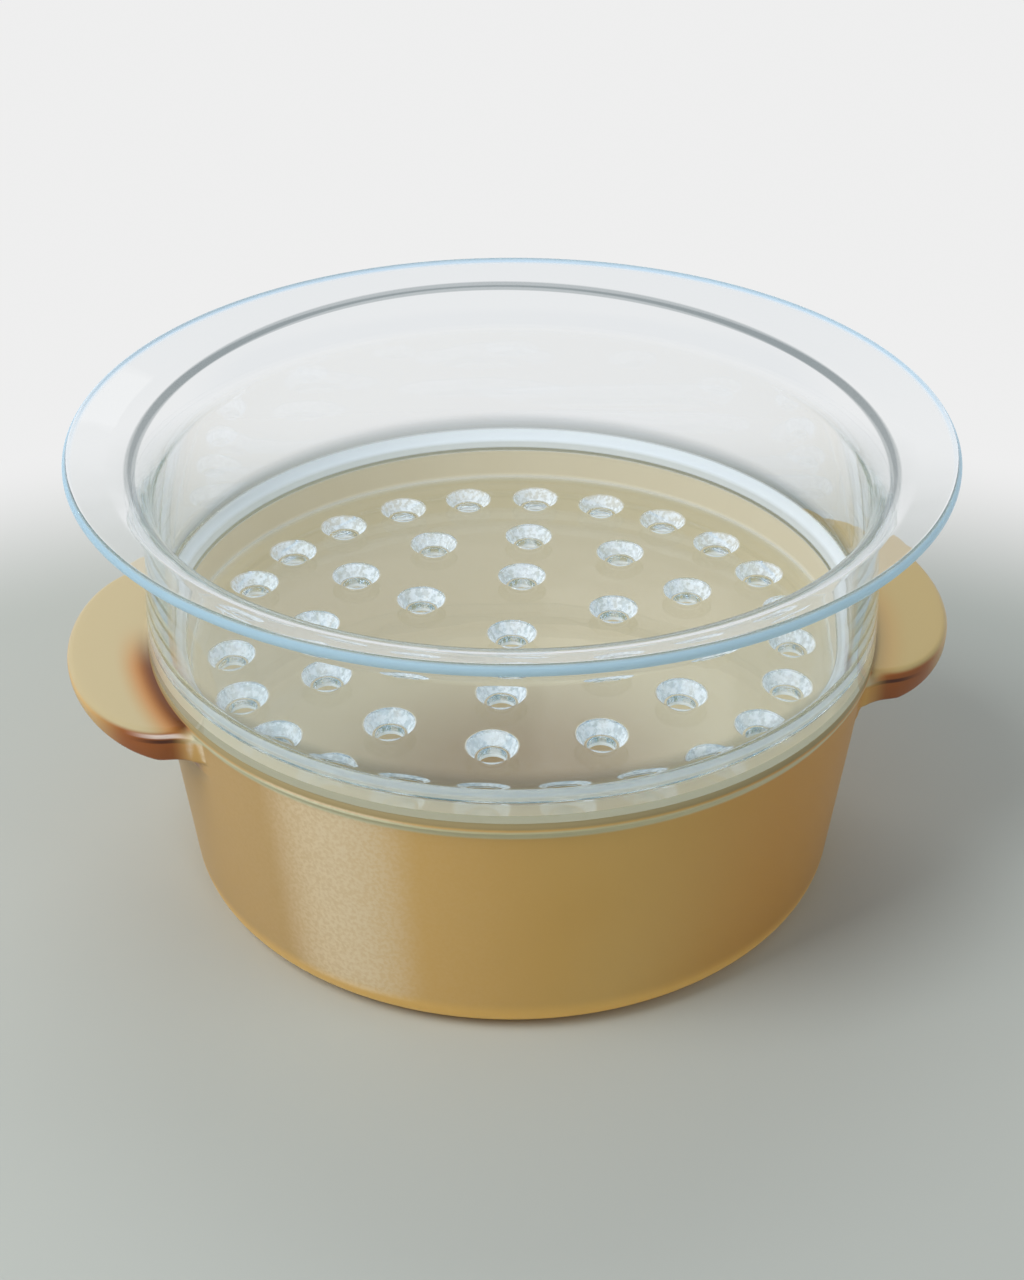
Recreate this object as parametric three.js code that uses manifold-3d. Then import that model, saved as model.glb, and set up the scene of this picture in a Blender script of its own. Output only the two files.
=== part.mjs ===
// Two-piece stove-top steam cooker: an amber glass-ceramic pot with two lug handles, and a clear
// glass steamer bowl with a perforated floor that seats on the pot's rim.
// Millimetres, +Z up. The origin is the centre of the pot's underside, and the handles lie on X.
import * as THREE from "three";
import { mergeVertices } from "three/addons/utils/BufferGeometryUtils.js";
import Module from "manifold-3d";

// Pot body
const POT_HEIGHT = 83;
const POT_LIP_R = 112.6;
const POT_TAPER = 9.2;
const POT_WALL = 4.2;
const POT_FLOOR = 5.5;
const POT_CORNER_ROUND = 10;
const POT_FLOOR_ROUND = 7.5;
const LIP_HEIGHT = 4.6;
const LIP_OVERHANG = 1.4;
const LIP_ROUND = 2;
const LIP_UNDERCUT_ROUND = 1.2;
const MOUTH_ROUND = 1.4;

// Lug handles: each is a half ellipse in plan, faired into the wall
const LUG_REACH = 24.7;
const LUG_HALF_WIDTH = 49;
const LUG_ROOT_FILLET = 13;
const LUG_TOP_DROP = 2.4;
const LUG_TIP_THICKNESS = 4.4;
const LUG_ROOT_THICKNESS = 11;
const LUG_EDGE_ROUND = 1.8;

// Steamer insert: its height is taken from its seat on the pot's rim
const INSERT_HEIGHT = 62.7;
const INSERT_WALL = 3.6;
const INSERT_FLARE = 1.8;
const SEAT_CLEARANCE = 0.3;
const SEAT_ROUND = 1;
const SPIGOT_DEPTH = 16.6;
const SPIGOT_WALL = 3.4;
const SPIGOT_CLEARANCE = 0.8;
const SPIGOT_ROUND = 8;
const SHOULDER_BOTTOM = 2.7;
const SHOULDER_TOP = 8.2;
const SHOULDER_TOP_ROUND = 9.5;
const SHOULDER_BOTTOM_ROUND = 3;
const PLATE = 7.2;
const PLATE_FILLET = 3;
const FLANGE = 3.6;
const FLANGE_OVERHANG = 21.2;
const FLANGE_TILT = THREE.MathUtils.degToRad(16);
const FLANGE_FILLET = 17;
const FLANGE_EDGE_ROUND = 1.7;

// Steam holes: each a funnel down to a ledge with a bore in it. They stand on evenly spaced rings
// about one centre hole, and the rings are listed from the outside in.
const HOLE_TOP_R = 7.7;
const HOLE_LEDGE_R = 5.2;
const HOLE_BORE_R = 4.2;
const HOLE_FUNNEL_DEPTH = 3.9;
const HOLE_EDGE_MARGIN = 2.7;
const HOLE_RING_PITCH = 26.8;
const HOLE_RING_COUNTS = [24, 12, 6];
const HOLE_PATTERN_TURN = THREE.MathUtils.degToRad(16.3);

// Facets
const RING_SEGMENTS = 64;
const HOLE_SEGMENTS = 12;
const ARC_STEPS = 4;
const LUG_CURVE_SEGMENTS = 10;
const LUG_EDGE_SEGMENTS = 2;
const WELD_TOLERANCE = 1e-4;
const CUT_MARGIN = 1;

// Places worked out from the sizes above
const POT_WALL_TOP_R = POT_LIP_R - LIP_OVERHANG;
const POT_WALL_BOTTOM_R = POT_WALL_TOP_R - POT_TAPER;
const POT_MOUTH_R = POT_WALL_TOP_R - POT_WALL;
const LUG_TIP_X = POT_LIP_R + LUG_REACH;
const LUG_TOP_Z = POT_HEIGHT - LUG_TOP_DROP;
const SEAT_Z = POT_HEIGHT + SEAT_CLEARANCE;
const INSERT_WALL_R = POT_LIP_R - INSERT_FLARE;
const INSERT_INNER_R = INSERT_WALL_R - INSERT_WALL;
const INSERT_TOP_Z = SEAT_Z + INSERT_HEIGHT;
const FLANGE_R = INSERT_WALL_R + FLANGE_OVERHANG;
const SPIGOT_R = POT_MOUTH_R - SPIGOT_CLEARANCE;
const SPIGOT_INNER_R = SPIGOT_R - SPIGOT_WALL;
const PLATE_BOTTOM_Z = SEAT_Z - SPIGOT_DEPTH;
const PLATE_TOP_Z = PLATE_BOTTOM_Z + PLATE;
const OUTER_HOLE_RING_R = SPIGOT_INNER_R - PLATE_FILLET - HOLE_EDGE_MARGIN - HOLE_TOP_R;

const wasm = await Module();
wasm.setup();

// A point of an outline in the (radius, height) half plane, with the radius of its rounding.
const corner = (x, y, round = 0) => ({ at: new THREE.Vector2(x, y), round });

// Turns corners into points: each rounded corner becomes a tangent arc. The first and last corners
// stay sharp, so a profile can start and end on the axis.
function roundedLine(corners) {
  const points = [];
  corners.forEach(({ at, round }, i) => {
    const isEnd = i === 0 || i === corners.length - 1;
    if (isEnd || round === 0) {
      points.push(at.clone());
      return;
    }
    const before = corners[i - 1].at.clone().sub(at).normalize();
    const after = corners[i + 1].at.clone().sub(at).normalize();
    const halfAngle = Math.acos(THREE.MathUtils.clamp(before.dot(after), -1, 1)) / 2;
    const reach = round / Math.tan(halfAngle);
    const start = at.clone().addScaledVector(before, reach);
    const end = at.clone().addScaledVector(after, reach);
    const middle = before.clone().add(after).normalize();
    const centre = at.clone().addScaledVector(middle, round / Math.sin(halfAngle));
    const from = start.clone().sub(centre).angle();
    let turn = end.clone().sub(centre).angle() - from;
    if (turn > Math.PI) turn -= 2 * Math.PI;
    if (turn < -Math.PI) turn += 2 * Math.PI;
    for (let k = 0; k <= ARC_STEPS; k += 1) {
      const angle = from + (turn * k) / ARC_STEPS;
      points.push(new THREE.Vector2(Math.cos(angle), Math.sin(angle)).multiplyScalar(round).add(centre));
    }
  });
  return points;
}

// A closed solid for joining and cutting, from any closed three.js geometry.
function solidFrom(geometry) {
  const bare = geometry.clone();
  bare.deleteAttribute("normal");
  bare.deleteAttribute("uv");
  const merged = mergeVertices(bare, WELD_TOLERANCE);
  const source = merged.index.array;
  const triVerts = [];
  for (let i = 0; i < source.length; i += 3) {
    const [a, b, c] = [source[i], source[i + 1], source[i + 2]];
    if (a !== b && b !== c && c !== a) triVerts.push(a, b, c);
  }
  return new wasm.Manifold(
    new wasm.Mesh({
      numProp: 3,
      vertProperties: new Float32Array(merged.attributes.position.array),
      triVerts: new Uint32Array(triVerts),
    }),
  );
}

// The finished solid as a geometry with flat facets.
function geometryFrom(solid) {
  const mesh = solid.getMesh();
  const geometry = new THREE.BufferGeometry();
  geometry.setAttribute("position", new THREE.BufferAttribute(mesh.vertProperties, 3));
  geometry.setIndex(new THREE.BufferAttribute(mesh.triVerts, 1));
  geometry.computeVertexNormals();
  return geometry;
}

// A profile that starts low on the axis and ends high on it, turned about Z.
function turned(corners, segments = RING_SEGMENTS) {
  const lathe = new THREE.LatheGeometry(roundedLine(corners), segments);
  lathe.rotateX(Math.PI / 2);
  return solidFrom(lathe);
}

// Pot: outer form and cavity

function potOuterForm() {
  const lipUnder = POT_HEIGHT - LIP_HEIGHT;
  return turned([
    corner(0, 0),
    corner(POT_WALL_BOTTOM_R, 0, POT_CORNER_ROUND),
    corner(POT_WALL_TOP_R, lipUnder, LIP_UNDERCUT_ROUND),
    corner(POT_LIP_R, lipUnder + (POT_LIP_R - POT_WALL_TOP_R), LIP_UNDERCUT_ROUND),
    corner(POT_LIP_R, POT_HEIGHT, LIP_ROUND),
    corner(0, POT_HEIGHT),
  ]);
}

function potCavity() {
  return turned([
    corner(0, POT_FLOOR),
    corner(POT_WALL_BOTTOM_R - POT_WALL, POT_FLOOR, POT_FLOOR_ROUND),
    corner(POT_MOUTH_R, POT_HEIGHT - LIP_HEIGHT),
    corner(POT_MOUTH_R, POT_HEIGHT, MOUTH_ROUND),
    corner(POT_MOUTH_R + MOUTH_ROUND, POT_HEIGHT),
    corner(POT_MOUTH_R + MOUTH_ROUND, POT_HEIGHT + CUT_MARGIN),
    corner(0, POT_HEIGHT + CUT_MARGIN),
  ]);
}

// Plan of one lug on +X: a half ellipse, and at each side a hollow fillet that meets the wall.
function lugPlan() {
  const filletY = LUG_HALF_WIDTH + LUG_ROOT_FILLET;
  const filletX = Math.sqrt((POT_WALL_TOP_R + LUG_ROOT_FILLET) ** 2 - filletY ** 2);
  const wallAngle = Math.atan2(filletY, filletX);
  const quarter = Math.PI / 2;
  const shape = new THREE.Shape();
  shape.moveTo(0, 0);
  shape.lineTo(POT_WALL_TOP_R * Math.cos(wallAngle), -POT_WALL_TOP_R * Math.sin(wallAngle));
  shape.absarc(filletX, -filletY, LUG_ROOT_FILLET, Math.PI - wallAngle, quarter, true);
  shape.absellipse(filletX, 0, LUG_TIP_X - filletX, LUG_HALF_WIDTH, -quarter, quarter, false);
  shape.absarc(filletX, filletY, LUG_ROOT_FILLET, -quarter, Math.PI + wallAngle, true);
  shape.closePath();
  return shape;
}

// The lug is level on top, with its underside falling towards the wall.
function lug(side) {
  const core = LUG_TIP_THICKNESS - 2 * LUG_EDGE_ROUND;
  const geometry = new THREE.ExtrudeGeometry(lugPlan(), {
    depth: core,
    curveSegments: LUG_CURVE_SEGMENTS,
    bevelEnabled: true,
    bevelThickness: LUG_EDGE_ROUND,
    bevelSize: LUG_EDGE_ROUND,
    bevelOffset: -LUG_EDGE_ROUND,
    bevelSegments: LUG_EDGE_SEGMENTS,
  });
  const fall = LUG_ROOT_THICKNESS - LUG_TIP_THICKNESS;
  const position = geometry.attributes.position;
  for (let i = 0; i < position.count; i += 1) {
    const isUnderside = position.getZ(i) < core / 2;
    const fromTip = (LUG_TIP_X - position.getX(i)) / (LUG_TIP_X - POT_WALL_TOP_R);
    if (isUnderside) position.setZ(i, position.getZ(i) - fall * Math.min(fromTip, 1));
  }
  geometry.translate(0, 0, LUG_TOP_Z - core - LUG_EDGE_ROUND);
  if (side < 0) geometry.rotateZ(Math.PI);
  return solidFrom(geometry);
}

function potSolid() {
  return potOuterForm().add(lug(1)).add(lug(-1)).subtract(potCavity());
}

// Steamer insert: bowl with flange, ledge and spigot, less its steam holes

function insertBowl() {
  const slope = Math.tan(FLANGE_TILT);
  // The rim's rounding takes its sharp corner down to the insert's full height.
  const rimZ = INSERT_TOP_Z + FLANGE_EDGE_ROUND * (slope + 1 / Math.cos(FLANGE_TILT) - 1);
  const underRimZ = rimZ - FLANGE;
  return turned([
    corner(0, PLATE_BOTTOM_Z),
    corner(SPIGOT_R, PLATE_BOTTOM_Z, SPIGOT_ROUND),
    corner(SPIGOT_R, SEAT_Z, SEAT_ROUND),
    corner(POT_LIP_R, SEAT_Z, SEAT_ROUND),
    corner(INSERT_WALL_R, underRimZ - slope * FLANGE_OVERHANG, FLANGE_FILLET - INSERT_WALL),
    corner(FLANGE_R, underRimZ, FLANGE_EDGE_ROUND),
    corner(FLANGE_R, rimZ, FLANGE_EDGE_ROUND),
    corner(INSERT_INNER_R, rimZ - slope * (FLANGE_R - INSERT_INNER_R), FLANGE_FILLET),
    corner(INSERT_INNER_R, SEAT_Z + SHOULDER_TOP, SHOULDER_TOP_ROUND),
    corner(SPIGOT_INNER_R, SEAT_Z + SHOULDER_BOTTOM, SHOULDER_BOTTOM_ROUND),
    corner(SPIGOT_INNER_R, PLATE_TOP_Z, PLATE_FILLET),
    corner(0, PLATE_TOP_Z),
  ]);
}

// What one steam hole cuts away, standing on the axis.
function holeCutter() {
  const ledgeZ = PLATE_TOP_Z - HOLE_FUNNEL_DEPTH;
  const slope = (HOLE_TOP_R - HOLE_LEDGE_R) / HOLE_FUNNEL_DEPTH;
  return turned(
    [
      corner(0, PLATE_BOTTOM_Z - CUT_MARGIN),
      corner(HOLE_BORE_R, PLATE_BOTTOM_Z - CUT_MARGIN),
      corner(HOLE_BORE_R, ledgeZ),
      corner(HOLE_LEDGE_R, ledgeZ),
      corner(HOLE_TOP_R + slope * CUT_MARGIN, PLATE_TOP_Z + CUT_MARGIN),
      corner(0, PLATE_TOP_Z + CUT_MARGIN),
    ],
    HOLE_SEGMENTS,
  );
}

function insertSolid() {
  const cutter = holeCutter();
  let bowl = insertBowl().subtract(cutter);
  HOLE_RING_COUNTS.forEach((count, ring) => {
    const radius = OUTER_HOLE_RING_R - ring * HOLE_RING_PITCH;
    for (let k = 0; k < count; k += 1) {
      const angle = HOLE_PATTERN_TURN + (2 * Math.PI * k) / count;
      bowl = bowl.subtract(cutter.translate([radius * Math.cos(angle), radius * Math.sin(angle), 0]));
    }
  });
  return bowl;
}

const amberGlassCeramic = new THREE.MeshStandardMaterial({
  color: 0xa5843f,
  roughness: 0.28,
  metalness: 0,
});
const clearGlass = new THREE.MeshStandardMaterial({
  color: 0xdfeaee,
  roughness: 0.04,
  metalness: 0,
  transparent: true,
  opacity: 0.35,
});

const pot = new THREE.Mesh(geometryFrom(potSolid()), amberGlassCeramic);
pot.name = "pot";
const steamerInsert = new THREE.Mesh(geometryFrom(insertSolid()), clearGlass);
steamerInsert.name = "steamer_insert";

const steamCooker = new THREE.Group();
steamCooker.add(pot, steamerInsert);

export default steamCooker;
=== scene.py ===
"""Looks of a two-piece steam cooker: a golden glass-ceramic pot and a clear glass steamer bowl.

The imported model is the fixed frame. Both pieces are rebuilt here as fine, smooth shells in the same
place and dressed with their finishes. Sizes are in millimetres until a mesh is made, in metres.
"""

from __future__ import annotations

import logging
import math
from dataclasses import dataclass, field
from enum import Enum
from typing import Any, Iterable, Mapping, Sequence

import bpy
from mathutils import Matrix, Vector
from mathutils.geometry import delaunay_2d_cdt

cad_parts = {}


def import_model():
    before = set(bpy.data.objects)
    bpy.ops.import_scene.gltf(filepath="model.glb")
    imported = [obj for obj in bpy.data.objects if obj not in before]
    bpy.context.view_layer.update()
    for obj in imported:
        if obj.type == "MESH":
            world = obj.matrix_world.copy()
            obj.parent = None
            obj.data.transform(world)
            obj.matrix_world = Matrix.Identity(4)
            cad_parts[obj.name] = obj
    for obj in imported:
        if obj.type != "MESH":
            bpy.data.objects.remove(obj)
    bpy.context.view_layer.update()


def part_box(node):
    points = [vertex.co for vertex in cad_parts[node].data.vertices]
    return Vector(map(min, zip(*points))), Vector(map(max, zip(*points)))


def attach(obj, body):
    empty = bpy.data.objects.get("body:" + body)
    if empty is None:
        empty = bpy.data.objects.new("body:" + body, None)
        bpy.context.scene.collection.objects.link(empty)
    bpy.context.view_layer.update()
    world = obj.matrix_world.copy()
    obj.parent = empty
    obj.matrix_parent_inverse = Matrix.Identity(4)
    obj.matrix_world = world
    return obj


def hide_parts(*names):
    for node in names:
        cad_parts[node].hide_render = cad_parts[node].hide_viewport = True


LOG = logging.getLogger("steam_cooker")
MM = 0.001
TRIANGLES_INSIDE = 1
WELD = 1e-6

Colour = tuple[float, float, float]
Span = tuple[float, float]
BLACK: Colour = (0.0, 0.0, 0.0)


def srgb(red: int, green: int, blue: int) -> Colour:
    """A colour as it is seen on screen, turned into the linear values that shaders take.

    Args:
        red: Red, from 0 to 255.
        green: Green, from 0 to 255.
        blue: Blue, from 0 to 255.

    Returns:
        The linear colour.
    """
    shares = (value / 255 for value in (red, green, blue))
    return tuple(s / 12.92 if s <= 0.04045 else ((s + 0.055) / 1.055) ** 2.4 for s in shares)


def smoothstep(low: float, high: float, value: float) -> float:
    """0 below low, 1 above high, with a smooth rise between them."""
    share = min(max((value - low) / (high - low), 0.0), 1.0)
    return share * share * (3 - 2 * share)


def soft_max(first: float, second: float, blend: float) -> float:
    """The larger of two values, faired over a length of about blend where they cross."""
    return (first + second + math.hypot(first - second, blend)) / 2


def spread(start: float, end: float, count: int) -> list[float]:
    """Evenly spaced values from start towards end, without the end itself."""
    return [start + (end - start) * k / count for k in range(count)]


class ShellName(Enum):
    """The two shells, named as their nodes and bodies are."""

    POT = "pot"
    INSERT = "steamer_insert"


class Slot(Enum):
    """Material slots of the record."""

    AMBER = "amber_glass_ceramic"
    CLEAR = "clear_glass"


class Mask(Enum):
    """Values kept on the shells' vertices, which their finishes read."""

    LUG = "lug_reach"
    ROOT = "lug_root"
    CAVITY = "cavity"
    # Frost on the holes, whose veil also carries a painted glow.
    FROST = "frost"
    # Painted highlight on the glass.
    PAINTED_HIGHLIGHT = "shine"
    # The pot's colour painted on the spigot, as seen through the glass.
    PAINTED_POT_VIEW = "warm"
    # The pot's colour painted on the seat, as seen through the glass.
    SEAT = "seat"
    # Painted dark lines in the glass.
    DIM = "dim"
    # Painted blue reflection on the flange's edge.
    EDGE = "edge"

    def field(self, bench: Bench) -> Field:
        """The value in a shader."""
        return bench.add("ShaderNodeAttribute", {"attribute_name": self.value})["Fac"]


# Outlines and meshes


@dataclass(frozen=True)
class Corner:
    """A corner of an outline in the (radius, height) half plane, with the radius of its rounding."""

    r: float
    z: float
    rounding: float = 0.0


@dataclass(frozen=True)
class Station:
    """A point of an outline, with the outward direction of the surface there."""

    r: float
    z: float
    out_r: float
    out_z: float


def rounded_outline(corners: Sequence[Corner], arc_step: float = math.radians(6)) -> list[Station]:
    """Rounds the corners between the first and the last one with tangent arcs.

    The solid lies to the left of the way that the corners run.

    Args:
        corners: The outline's corners. The first and last only give directions.
        arc_step: The largest turn from one station of an arc to the next.

    Returns:
        The stations of all inner corners, in order.
    """
    stations: list[Station] = []
    for before, at, after in zip(corners, corners[1:], corners[2:]):
        way_in = Vector((at.r - before.r, at.z - before.z)).normalized()
        way_out = Vector((after.r - at.r, after.z - at.z)).normalized()
        turn = math.atan2(way_in.x * way_out.y - way_in.y * way_out.x, way_in.dot(way_out))
        reach = at.rounding * math.tan(abs(turn) / 2)
        side = math.copysign(at.rounding, turn)
        start = Vector((at.r, at.z)) - way_in * reach
        first = math.atan2(-way_in.x, way_in.y)
        centre = start - side * Vector((math.cos(first), math.sin(first)))
        steps = max(2, math.ceil(abs(turn) / arc_step))
        for k in range(steps + 1):
            angle = first + turn * k / steps
            out = Vector((math.cos(angle), math.sin(angle)))
            place = centre + side * out
            stations.append(Station(place.x, place.y, out.x, out.y))
    return stations


def subdivided(stations: Sequence[Station], longest: float) -> list[Station]:
    """Adds stations on straight stretches, so that none is longer than a length.

    Args:
        stations: The outline.
        longest: The largest step, in millimetres.

    Returns:
        The outline with the added stations.
    """
    fine: list[Station] = [stations[0]]
    for a, b in zip(stations, stations[1:]):
        steps = max(1, math.ceil(math.hypot(b.r - a.r, b.z - a.z) / longest))
        for k in range(1, steps + 1):
            t = k / steps
            fine.append(
                Station(
                    a.r + (b.r - a.r) * t,
                    a.z + (b.z - a.z) * t,
                    a.out_r + (b.out_r - a.out_r) * t,
                    a.out_z + (b.out_z - a.out_z) * t,
                )
            )
    return fine


def add_object(name: str, data: bpy.types.ID) -> bpy.types.Object:
    """Puts a new object into the scene.

    Args:
        name: The object's name.
        data: Its mesh, lamp or camera.

    Returns:
        The object.
    """
    made = bpy.data.objects.new(name, data)
    bpy.context.scene.collection.objects.link(made)
    return made


@dataclass
class Shell:
    """A mesh in the making: points, faces, and values kept on the points."""

    points: list[Vector] = field(default_factory=list)
    normals: list[Vector] = field(default_factory=list)
    faces: list[tuple[int, ...]] = field(default_factory=list)
    values: dict[Mask, list[float]] = field(default_factory=dict)

    def point(self, at: Vector, normal: Vector, values: Mapping[Mask, float] | None = None) -> int:
        """Adds one point.

        Args:
            at: Its place, in millimetres.
            normal: The surface's outward direction.
            values: What its masks hold. A mask that isn't named holds 0.

        Returns:
            The point's index.
        """
        self.points.append(at)
        self.normals.append(normal)
        for mask in Mask:
            self.values.setdefault(mask, []).append((values or {}).get(mask, 0.0))
        return len(self.points) - 1

    def ring(
        self,
        station: Station,
        angles: Sequence[float],
        centre: Vector = Vector((0, 0, 0)),
        values: Mapping[Mask, float] | None = None,
    ) -> list[int]:
        """Adds a ring of points: a station turned about an upright axis.

        Args:
            station: The station to turn.
            angles: The angles of the points.
            centre: A point on the axis.
            values: What the ring's masks hold.

        Returns:
            The ring's indices.
        """
        made = []
        for angle in angles:
            way = Vector((math.cos(angle), math.sin(angle), 0))
            up = Vector((0, 0, 1))
            at = centre + way * station.r + up * station.z
            made.append(self.point(at, way * station.out_r + up * station.out_z, values))
        return made

    def bridge(self, low: Sequence[int], high: Sequence[int]) -> None:
        """Joins two rings of as many points with a band of faces.

        Args:
            low: The ring that comes first on the way up the outside.
            high: The ring after it.
        """
        for k in range(len(low)):
            after = (k + 1) % len(low)
            self.faces.append((low[k], low[after], high[after], high[k]))

    def fan(self, tip: int, ring: Sequence[int], upwards: bool) -> None:
        """Closes a ring with faces that meet in one point.

        Args:
            tip: The point.
            ring: The ring.
            upwards: Whether the faces look up.
        """
        for k in range(len(ring)):
            pair = (ring[k], ring[(k + 1) % len(ring)])
            self.faces.append((tip, *pair) if upwards else (tip, *reversed(pair)))

    def sheet(self, outer: Sequence[int], holes: Iterable[Sequence[int]], upwards: bool) -> None:
        """Fills a level face between an outer ring and the rings of its holes.

        Args:
            outer: The outer ring.
            holes: The holes' rings.
            upwards: Whether the face looks up.
        """
        loops = [list(outer), *(list(hole) for hole in holes)]
        order = [index for loop in loops for index in loop]
        owner = [which for which, loop in enumerate(loops) for _ in loop]
        edges: list[tuple[int, int]] = []
        start = 0
        for loop in loops:
            count = len(loop)
            edges += [(start + k, start + (k + 1) % count) for k in range(count)]
            start += count
        flat = [self.points[index].xy for index in order]
        made = delaunay_2d_cdt(flat, edges, [], TRIANGLES_INSIDE, WELD)
        source = [origins[0] for origins in made[3]]
        for face in made[2]:
            owners = {owner[source[k]] for k in face}
            if len(owners) == 1 and 0 not in owners:
                continue  # A face whose corners are all on one hole's ring fills that hole.
            corners = [order[source[k]] for k in face]
            a, b, c = (self.points[k].xy for k in corners[:3])
            turns_left = (b - a).cross(c - a) > 0
            self.faces.append(tuple(corners if turns_left == upwards else reversed(corners)))

    def finish(self, name: ShellName, exact_normals: bool) -> bpy.types.Object:
        """Makes the Blender object.

        Args:
            name: The shell's name, which is also its node and its body.
            exact_normals: Whether the points' own directions shade it.

        Returns:
            The object, which stands for its node and rides on its body.
        """
        label = f"{name.value}_shell"
        mesh = bpy.data.meshes.new(label)
        mesh.from_pydata([p * MM for p in self.points], [], self.faces)
        mesh.shade_smooth()
        for mask, values in self.values.items():
            if any(values):
                layer = mesh.attributes.new(mask.value, "FLOAT", "POINT")
                layer.data.foreach_set("value", values)
        if exact_normals:
            mesh.normals_split_custom_set_from_vertices([n.normalized() for n in self.normals])
        piece = add_object(label, mesh)
        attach(piece, name.value)
        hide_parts(name.value)
        return piece


# Shader maths


class Field:
    """A node's output, on which Python's operators add Math nodes."""

    def __init__(self, bench: Bench, socket: bpy.types.NodeSocket) -> None:
        """Wraps a socket of the bench's tree."""
        self.bench = bench
        self.socket = socket

    def _math(self, operation: str, *values: Field | float) -> Field:
        """Adds one Math node."""
        settings = {"operation": operation}
        return self.bench.add("ShaderNodeMath", settings, dict(enumerate(values)))[0]

    def __add__(self, other: Field | float) -> Field:
        """self + other."""
        return self._math("ADD", self, other)

    __radd__ = __add__

    def __sub__(self, other: Field | float) -> Field:
        """self - other."""
        return self._math("SUBTRACT", self, other)

    def __rsub__(self, other: float) -> Field:
        """other - self."""
        return self._math("SUBTRACT", other, self)

    def __mul__(self, other: Field | float) -> Field:
        """self * other."""
        return self._math("MULTIPLY", self, other)

    __rmul__ = __mul__

    def __truediv__(self, other: Field | float) -> Field:
        """self / other."""
        return self._math("DIVIDE", self, other)

    def __rtruediv__(self, other: float) -> Field:
        """other / self."""
        return self._math("DIVIDE", other, self)

    def __pow__(self, other: Field | float) -> Field:
        """self ** other."""
        return self._math("POWER", self, other)

    def size(self) -> Field:
        """The value without its sign."""
        return self._math("ABSOLUTE", self)

    def either(self, other: Field | float) -> Field:
        """The larger of the two."""
        return self._math("MAXIMUM", self, other)

    def rise(self, low: float, high: float) -> Field:
        """0 at low and 1 at high, with a smooth rise between them."""
        inputs = {"Value": self, "From Min": low, "From Max": high}
        return self.bench.add("ShaderNodeMapRange", {"interpolation_type": "SMOOTHSTEP"}, inputs)[0]


class Outputs:
    """A node's outputs, by place or by name."""

    def __init__(self, bench: Bench, node: bpy.types.Node) -> None:
        """Holds the node."""
        self.bench = bench
        self.node = node

    def __getitem__(self, key: int | str) -> Field:
        """One output, wrapped."""
        return Field(self.bench, self.node.outputs[key])


class Bench:
    """A node tree that is being built."""

    def __init__(self, tree: bpy.types.NodeTree) -> None:
        """Takes a tree and clears it."""
        tree.nodes.clear()
        self.tree = tree

    def add(
        self,
        node_type: str,
        settings: Mapping[str, Any] | None = None,
        inputs: Mapping[int | str, Any] | None = None,
    ) -> Outputs:
        """Adds any node.

        Args:
            node_type: The node's type.
            settings: Its properties, set first.
            inputs: Values or links of its sockets, by place or by name.

        Returns:
            The node's outputs.
        """
        node = self.tree.nodes.new(node_type)
        for key, value in (settings or {}).items():
            setattr(node, key, value)
        for key, value in (inputs or {}).items():
            socket = node.inputs[key]
            if isinstance(value, Field):
                self.tree.links.new(value.socket, socket)
            elif socket.type == "RGBA" and len(value) == 3:
                socket.default_value = (*value, 1.0)
            else:
                socket.default_value = value
        return Outputs(self, node)

    def blend(self, first: Field | Colour, second: Field | Colour, share: Field | float) -> Field:
        """Goes from one colour to another.

        Args:
            first: The colour at share 0.
            second: The colour at share 1.
            share: How far to go.

        Returns:
            The blended colour.
        """
        # A Mix node's sockets share their names, so its colours go by place.
        inputs = {0: share, 6: first, 7: second}
        return self.add("ShaderNodeMix", {"data_type": "RGBA"}, inputs)[2]

    def noise(self, where: Field, scale: float, detail: float = 2.0) -> Field:
        """Soft noise between 0 and 1, with scale waves to a metre."""
        inputs = {"Vector": where, "Scale": scale, "Detail": detail}
        return self.add("ShaderNodeTexNoise", None, inputs)["Fac"]

    def split(self, vector: Field) -> Outputs:
        """A vector's X, Y and Z."""
        return self.add("ShaderNodeSeparateXYZ", None, {0: vector})

    def along(self, way: Field, axis: Sequence[float]) -> Field:
        """How far a direction goes along an axis."""
        return self.add("ShaderNodeVectorMath", {"operation": "DOT_PRODUCT"}, {0: way, 1: axis})["Value"]

    def mix(self, share: Field, first: Field, second: Field) -> Field:
        """Goes from one shader at share 0 to another at share 1."""
        return self.add("ShaderNodeMixShader", None, {0: share, 1: first, 2: second})["Shader"]


def new_material(name: str) -> tuple[bpy.types.Material, Bench]:
    """Makes a material with an empty node tree.

    Args:
        name: The material's name.

    Returns:
        The material and the bench on which its nodes are built.
    """
    material = bpy.data.materials.new(name)
    material.use_nodes = True
    return material, Bench(material.node_tree)


# Finishes


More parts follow.
